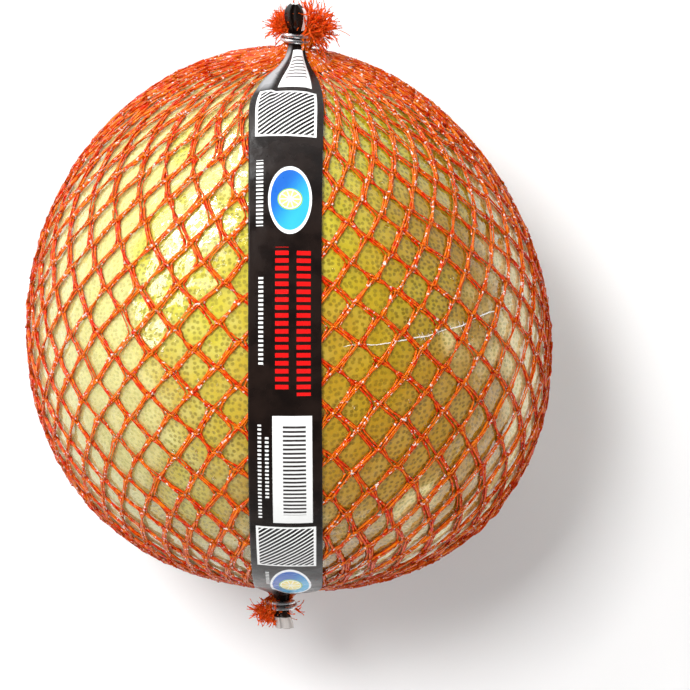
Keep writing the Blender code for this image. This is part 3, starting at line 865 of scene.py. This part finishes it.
def band_half_width(from_knot, taper):
    share = np.clip(from_knot / taper, 0, 1)
    return BAND_PINCHED + (BAND_HALF_WIDTH - BAND_PINCHED) * np.sin(math.pi / 2 * share) ** 1.25


def pleats():
    """Zigzag across the gathered band, from 0 at the foot of a pleat to about 1 at its crest."""
    place = [-1.0, -0.48, -0.36, 0.10, 0.52, 0.78, 1.0]
    return np.interp(ACROSS, place, [0.0, 1.15, 0.0, 0.75, 0.85, 0.0, 0.4])


def band_sections():
    """Points of the band over the fruit, between its two pinched ends."""
    upper_end = math.asin(UPPER_KNOT[2]) + BAND_LANDING / float(fruit_reach(UPPER_KNOT))
    lower_end = math.pi - math.asin(LOWER_KNOT[2]) - BAND_LANDING / float(fruit_reach(LOWER_KNOT))
    share = np.linspace(0, 1, BAND_STEPS)
    angle = math.pi / 2 - (upper_end + (lower_end - upper_end) * share)
    from_upper = (math.pi / 2 - angle - upper_end) * STEM_REACH
    from_lower = (lower_end - math.pi / 2 + angle) * BLOSSOM_REACH
    drift = UPPER_KNOT[0] * (1 - eased(from_upper / UPPER_TAPER))
    drift = drift + LOWER_KNOT[0] * (1 - eased(from_lower / LOWER_TAPER))
    middle = unit(np.stack([drift, np.sin(angle), np.cos(angle)], -1))
    half = np.minimum(
        band_half_width(from_upper, UPPER_TAPER), band_half_width(from_lower, LOWER_TAPER)
    )
    side = np.array([1.0, 0, 0])
    spots = unit(middle[:, None] * FRUIT_RADIUS + (half[:, None] * ACROSS)[..., None] * side)
    pinch = np.sqrt(np.clip(1 - (half / BAND_HALF_WIDTH) ** 2, 0, 1))
    near_end = np.minimum(from_upper, from_lower)
    depth = pinch * 1.15 * np.interp(near_end, [0, 4 * MM, 14 * MM], [0.25, 0.9, 1.0])
    lift = depth[:, None] * pleats()[None]
    waves = 0.10 * np.sin(from_upper / (2.3 * MM) + 1.3)[:, None] * ACROSS**2
    return net_point(spots, (BAND_HEIGHT_MM + lift + waves + band_relief(spots)) * MM)


def band_relief(spots):
    flat = spots.reshape(-1, 3)
    relief = field(flat, 15.0, 2, 2.0) * 0.08 + field(flat, 38.0, 2, 9.0) * 0.05
    return relief.reshape(spots.shape[:2])


def tail_sections(knot, stations, steps):
    """Points of the band from where it enters the clip to its free end."""
    table = np.array(stations)
    height = np.linspace(table[0, 0], table[-1, 0], steps)
    ahead, half, shift = (np.interp(height, table[:, 0], table[:, k]) for k in (1, 2, 3))
    smooth = np.array([0.25, 0.5, 0.25])
    for values in (ahead, half, shift):
        for _ in range(4):
            values[1:-1] = np.convolve(values, smooth, "valid")
    across = half[:, None] * ACROSS
    round_neck = NECK_FRONT / MM * (np.sqrt(np.clip(1 - (across / 3.6) ** 2, 0, 1)) - 1)
    free = np.interp(height, [7.5, 11.0], [0.0, 1.0])[:, None]
    fold = pleats()[None] * (0.28 + 0.75 * free)
    curl = free * 0.5 * np.cos(ACROSS * 2.2)[None]
    front = NECK_FRONT / MM + 0.35 + ahead[:, None] + round_neck + fold + curl
    return knot.point(height[:, None] * MM, front * MM, (shift[:, None] + across) * MM)


def make_band():
    main = band_sections()
    upper = tail_sections(UPPER, UPPER_TAIL, UPPER_TAIL_STEPS)
    lower = tail_sections(LOWER, LOWER_TAIL, LOWER_TAIL_STEPS)
    points = np.concatenate([upper[::-1], main, lower])
    # The steps between the parts are rounded by averaging along the band.
    for _ in range(6):
        points[1:-1] = points[1:-1] * 0.5 + (points[:-2] + points[2:]) * 0.25
    rows, columns = points.shape[:2]
    middle = points[:, columns // 2]
    along = np.concatenate([[0], np.cumsum(np.linalg.norm(np.diff(middle, axis=0), axis=1))]) / MM
    a = np.arange(rows - 1)[:, None] * columns + np.arange(columns - 1)[None]
    faces = np.stack([a, a + 1, a + columns + 1, a + columns], -1).reshape(-1, 4)[:, ::-1]
    shown = photo_row(middle)
    on_fruit = slice(len(upper), len(upper) + len(main))

    def at_row(row):
        """Length along the band, in mm, of the spot that shows at this row of the picture."""
        return float(np.interp(row, shown[on_fruit], along[on_fruit]))

    obj = mesh_object("label_band_film", points, faces, band_material(at_row, along[-1] - 3.4))
    layer = obj.data.uv_layers.new(name="band_mm")
    index = np.empty(len(obj.data.loops), dtype=np.int32)
    obj.data.loops.foreach_get("vertex_index", index)
    u = ACROSS[index % columns] * BAND_HALF_WIDTH / MM
    v = along[index // columns]
    layer.data.foreach_set("uv", np.stack([u, v], -1).astype(np.float32).ravel())
    thick = obj.modifiers.new("film", "SOLIDIFY")
    thick.thickness = BAND_THICKNESS
    thick.offset = 1.0
    return finish_piece(obj, "label_band")


PRINT_BLACK, PRINT_BLACK_WORN = (0.005, 0.003, 0.0025), (0.011, 0.006, 0.0045)
PRINT_WHITE = (0.80, 0.80, 0.79)
PRINT_RED = (0.60, 0.006, 0.006)
# All across and along the band in mm, and rows in pixels of the picture.
WEDGE_ROWS = (50, 87)
HATCHED_ROWS = ((91, 136), (527, 566))
# Middle across, row of the middle, half height, squeeze of the wheel.
OVALS = ((1.3, 199, 10.6, 1.0), (0.9, 585, 15.0, 0.5))
OVAL_HALF_WIDTH = 5.9
# Left, right, first row, last row.
RED_LADDERS = ((3.2, 7.0, 250, 396), (-2.6, 1.0, 247, 392))
# Middle across, width, first row, last row.
DASHED_LINES = (
    (-6.9, 1.9, 160, 226),
    (-6.5, 1.3, 277, 366),
    (-6.9, 1.0, 425, 520),
    (-4.9, 1.0, 436, 500),
    (-5.6, 1.0, 572, 585),
)


def band_material(at_row, plain_from):
    """Dark film with plain printed shapes: light panels, stripes and a citrus wheel."""
    g = new_material("label_print")
    u, v, _ = g.split(g.node("UVMap", uv_map="band_mm"))

    def product(first, second):
        return g.math("MULTIPLY", first, second)

    def length(first, second):
        return g.math("SQRT", g.math("ADD", product(first, first), product(second, second)))

    def inside(value, low, high, soft=0.07):
        middle, half = (low + high) / 2, (high - low) / 2
        away = g.math("ABSOLUTE", g.math("SUBTRACT", value, middle))
        return g.span(away, half - soft, half + soft, 1.0, 0.0)

    def disc(away, radius):
        return g.span(away, radius - 0.06, radius + 0.06, 1.0, 0.0)

    def patch(left, right, top, bottom):
        return product(inside(u, left, right), inside(v, top, bottom))

    def stripes(value, period, share):
        phase = g.math("FRACT", g.math("DIVIDE", value, period))
        away = g.math("ABSOLUTE", g.math("SUBTRACT", phase, 0.5))
        return disc(away, share / 2)

    def put(colour, mask, paint):
        return g.mix(mask, colour, paint)

    def wheel(colour, centre_u, centre_v, squeeze, radius=3.4, segments=10):
        du = g.math("SUBTRACT", u, centre_u)
        dv = product(g.math("SUBTRACT", v, centre_v), squeeze)
        away = length(du, dv)
        turn = g.math("MULTIPLY_ADD", g.math("ARCTAN2", dv, du), segments / math.tau, 20.0)
        off_middle = g.math("ABSOLUTE", g.math("SUBTRACT", g.math("FRACT", turn), 0.5))
        spoke = product(g.math("SUBTRACT", 0.5, off_middle), away)
        colour = put(colour, disc(away, radius), (0.22, 0.42, 0.05))
        colour = put(colour, disc(away, radius * 0.9), (0.86, 0.86, 0.70))
        flesh = product(disc(away, radius * 0.8), g.span(spoke, 0.20, 0.32))
        return put(colour, flesh, (0.80, 0.66, 0.16))

    shade = g.noise(160.0, 2.0)
    colour = g.mix(g.span(shade, 0.3, 0.7), PRINT_BLACK, PRINT_BLACK_WORN)
    # Wedge and hatched panels.
    top, bottom = (at_row(row) for row in WEDGE_ROWS)
    colour = put(colour, patch(-3.5, 7.0, top, bottom), PRINT_WHITE)
    hatch = product(stripes(v, 1.9, 0.4), patch(-2.2, 5.8, at_row(54), at_row(80)))
    colour = put(colour, hatch, (0.12, 0.11, 0.11))
    for rows in HATCHED_ROWS:
        top, bottom = (at_row(row) for row in rows)
        colour = put(colour, patch(-8.2, 8.2, top, bottom), PRINT_WHITE)
        hatch = stripes(g.math("ADD", u, v), 1.7, 0.64)
        colour = put(colour, product(hatch, patch(-7.5, 7.5, top + 0.7, bottom - 0.7)), PRINT_BLACK)
    # Oval badges with a citrus wheel.
    for centre, row, tall, squeeze in OVALS:
        middle = at_row(row)
        du = g.math("SUBTRACT", u, centre)
        flat_v = product(g.math("SUBTRACT", v, middle), OVAL_HALF_WIDTH / tall)
        away = length(du, flat_v)
        colour = put(colour, disc(away, OVAL_HALF_WIDTH), (0.82, 0.84, 0.86))
        blend = g.span(g.math("ADD", du, flat_v), -5.0, 5.0)
        blue = g.mix(blend, (0.01, 0.10, 0.42), (0.03, 0.36, 0.62))
        colour = put(colour, disc(away, OVAL_HALF_WIDTH - 0.62), blue)
        colour = wheel(colour, centre, middle, squeeze)
    for left, right, top, bottom in RED_LADDERS:
        bars = product(stripes(v, 2.2, 0.55), patch(left, right, at_row(top), at_row(bottom)))
        colour = put(colour, bars, PRINT_RED)
    for centre, wide, top, bottom in DASHED_LINES:
        line = patch(centre - wide / 2, centre + wide / 2, at_row(top), at_row(bottom))
        colour = put(colour, product(line, stripes(v, 1.25, 0.5)), (0.75, 0.75, 0.74))
    # Light panel with a field of even stripes.
    colour = put(colour, patch(-3.4, 7.3, at_row(416), at_row(523)), (0.72, 0.72, 0.71))
    bars = product(stripes(v, 1.3, 0.5), patch(-0.6, 5.6, at_row(424), at_row(515)))
    colour = put(colour, bars, (0.03, 0.025, 0.025))
    # Bare film at the lower end, a painted grey reflection by the wedge and a painted highlight on
    # the upper tail's right corner.
    bare = g.span(v, plain_from - 0.1, plain_from + 0.1)
    colour = put(colour, bare, (0.42, 0.39, 0.37))
    # Painted reflection: a grey patch on the black film by the wedge.
    painted_sheen = product(inside(u, -9.8, -5.4, 1.2), inside(v, at_row(50), at_row(88), 2.5))
    colour = put(colour, product(painted_sheen, 0.8), (0.36, 0.36, 0.37))
    # Painted highlight: a light patch on the upper tail's right corner.
    corner = g.math("GREATER_THAN", g.math("MULTIPLY_ADD", v, 0.25, u), 7.6)
    colour = put(colour, product(corner, inside(v, 1.2, 8.6)), (0.78, 0.76, 0.75))
    shader = g.node(
        "BsdfPrincipled",
        {
            "Base Color": colour,
            "Roughness": g.span(shade, 0.3, 0.7, 0.2, 0.34),
            "Normal": g.bump(g.noise(330.0, 3.0), 0.35 * MM, 0.35),
            "IOR": 1.35,
            "Specular IOR Level": 0.4,
            "Coat Weight": 0.04,
            "Coat Roughness": 0.06,
        },
    )
    return g.done(shader)


# Clips

WIRE_RADIUS = 0.7 * MM
CLIP_SIDE = 4.1 * MM
CLIP_FRONT = 3.5 * MM
CLIP_SHIFT = 0.5 * MM
CLIP_HEIGHT = 5.9 * MM
CLIP_PITCH = 1.6 * MM
CLIP_START = math.radians(25)
CLIP_SWEEP = math.radians(490)
CLIP_STEPS, CLIP_SIDES = 110, 14
CLIP_END_ROUNDING = 0.5 * MM


def make_clip(name, node, knot, material):
    """A wire wound somewhat more than once round the neck, with rounded ends."""
    share = np.linspace(0, 1, CLIP_STEPS)
    turn = CLIP_START + CLIP_SWEEP * share
    height = CLIP_HEIGHT + CLIP_PITCH * CLIP_SWEEP / math.tau * (share - 0.5)
    path = knot.point(height, CLIP_SHIFT + CLIP_FRONT * np.sin(turn), CLIP_SIDE * np.cos(turn))
    tangent = unit(np.gradient(path, axis=0))
    first = unit(knot.out - tangent * (tangent @ knot.out)[:, None])
    second = np.cross(tangent, first)
    around = np.linspace(0, math.tau, CLIP_SIDES, endpoint=False)[None, :, None]
    from_end = np.minimum(share, 1 - share) * CLIP_SWEEP * CLIP_SIDE
    rounding = 1 - np.clip(from_end / CLIP_END_ROUNDING, 0, 1)
    radius = WIRE_RADIUS * np.sqrt(np.clip(1 - rounding**2, 0.02, 1))
    ring = first[:, None] * np.cos(around) + second[:, None] * np.sin(around)
    points = path[:, None] + ring * radius[:, None, None]
    a = np.arange(CLIP_STEPS - 1)[:, None] * CLIP_SIDES
    k = np.arange(CLIP_SIDES)[None]
    n = (k + 1) % CLIP_SIDES
    quads = np.stack([a + k, a + n, a + CLIP_SIDES + n, a + CLIP_SIDES + k], -1).reshape(-1, 4)
    last = (CLIP_STEPS - 1) * CLIP_SIDES
    caps = [list(range(CLIP_SIDES))[::-1], list(range(last, last + CLIP_SIDES))]
    obj = mesh_object(name, points, quads.tolist() + caps, material)
    work = bmesh.new()
    work.from_mesh(obj.data)
    bmesh.ops.recalc_face_normals(work, faces=work.faces)
    work.to_mesh(obj.data)
    work.free()
    return finish_piece(obj, node)


# Stage

FLOOR_REACH = 3.0
SENSOR_WIDTH = 36.0
# Colours of the room by height, from 0 at the horizon to 1 overhead.
ROOM = ((0.0, (1.0, 1.0, 1.0, 1)), (0.33, (0.62, 0.62, 0.625, 1)), (0.75, (0.14, 0.14, 0.142, 1)))
# The room is brighter on the side of the key light, and dimmer across from it.
ROOM_BRIGHT_SIDE = (-0.77, 0.64, 0.0)
ROOM_STRENGTH = (0.5, 1.4)
LIGHT_DISTANCE = 1.5
# Soft boxes: azimuth and elevation in degrees, width and height in metres, power in watts.
LIGHTS = {
    "key": (137, 69, 0.42, 0.42, 21.0),
    "fill": (-45, 50, 1.4, 1.4, 14.0),
    "side": (131, 31, 0.7, 1.0, 6.0),
    "spark": (130, 34, 0.6, 0.2, 5.5),
    "spark_top": (106, 12, 0.22, 0.7, 5.0),
    "spark_left": (161, 33, 0.7, 0.24, 3.5),
}
NOT_REFLECTED = ("key", "fill")
UPPER_BRUSH = {"left": (0.1, 1.15, 8.5), "right": (0.15, 1.6, 11.5), "split": 0.25, "slip": 0.75}
LOWER_BRUSH = {"left": (0.15, 1.5, 6.6), "right": (1.2, 1.5, 6.5), "split": -0.998, "slip": -0.8}


def make_floor():
    r = FLOOR_REACH
    corners = [(-r, -r, 0), (r, -r, 0), (r, r, 0), (-r, r, 0)]
    floor = mesh_object("studio_ground", corners, [(0, 1, 2, 3)], floor_material(), smooth=False)


def make_room():
    world = bpy.data.worlds.new("studio")
    bpy.context.scene.world = world
    g = Graph(world, "ShaderNodeOutputWorld")
    way = g.node("TexCoord")
    colour = g.node("ValToRGB", {0: g.split(way)[2]})
    ramp = colour.node.color_ramp
    ramp.elements[0].position, ramp.elements[0].color = ROOM[0]
    ramp.elements[1].position, ramp.elements[1].color = ROOM[2]
    ramp.elements.new(ROOM[1][0]).color = ROOM[1][1]
    values = {0: way, 1: ROOM_BRIGHT_SIDE}
    towards = g.node("VectorMath", values, out="Value", operation="DOT_PRODUCT")
    low, high = ROOM_STRENGTH
    values = {"Value": towards, "From Min": -0.55, "From Max": 0.55, "To Min": low, "To Max": high}
    strength = g.node("MapRange", values)
    g.done(g.node("Background", {"Color": colour, "Strength": strength}))


def make_light(name, azimuth, elevation, width, height, power):
    data = bpy.data.lights.new(name, "AREA")
    data.shape = "RECTANGLE"
    data.size = width
    data.size_y = height
    data.energy = power
    light = bpy.data.objects.new(name, data)
    turn, rise = math.radians(azimuth), math.radians(elevation)
    way = Vector((math.cos(turn) * math.cos(rise), math.sin(turn) * math.cos(rise), math.sin(rise)))
    light.location = Vector(CENTRE) + way * LIGHT_DISTANCE
    light.rotation_euler = way.to_track_quat("Z", "Y").to_euler()
    light.visible_glossy = name not in NOT_REFLECTED
    bpy.context.scene.collection.objects.link(light)


def make_camera():
    scene = bpy.context.scene
    camera = bpy.data.cameras.new("camera")
    camera.sensor_width = SENSOR_WIDTH
    camera.lens = SENSOR_WIDTH * CAMERA_DISTANCE * PIXELS_PER_METRE / FRAME_PIXELS
    camera.dof.use_dof = False
    camera.clip_end = 20
    holder = bpy.data.objects.new("camera", camera)
    holder.location = camera_place()
    scene.collection.objects.link(holder)
    scene.camera = holder
    scene.view_settings.view_transform = "Standard"
    scene.view_settings.look = "None"


def main():
    make_floor()
    make_room()
    for name, values in LIGHTS.items():
        make_light(name, *values)
    make_camera()
    make_fruit()
    make_film()
    make_crease()
    longitude, polar, strands = make_sleeve()
    # The cut ends take a brighter copy of the strand plastic, without painted edge shade: painted
    # light.
    cut = strand_material("net_cut_ends_painted_light", -0.08, 0.6, 0.70, CUT_RED_PAINTED_LIGHT, CUT_ORANGE_PAINTED_LIGHT, rim=0.0)
    paints = (strands, cut)
    make_gather("net_tuft_upper", UPPER, longitude[0], polar[0], 3, UPPER_BRUSH, paints)
    make_gather("net_tuft_lower", LOWER, longitude[-1], polar[-1], 5, LOWER_BRUSH, paints)
    make_band()
    metal = metal_material()
    make_clip("clip_upper_wire", "clip_upper", UPPER, metal)
    make_clip("clip_lower_wire", "clip_lower", LOWER, metal)


main()
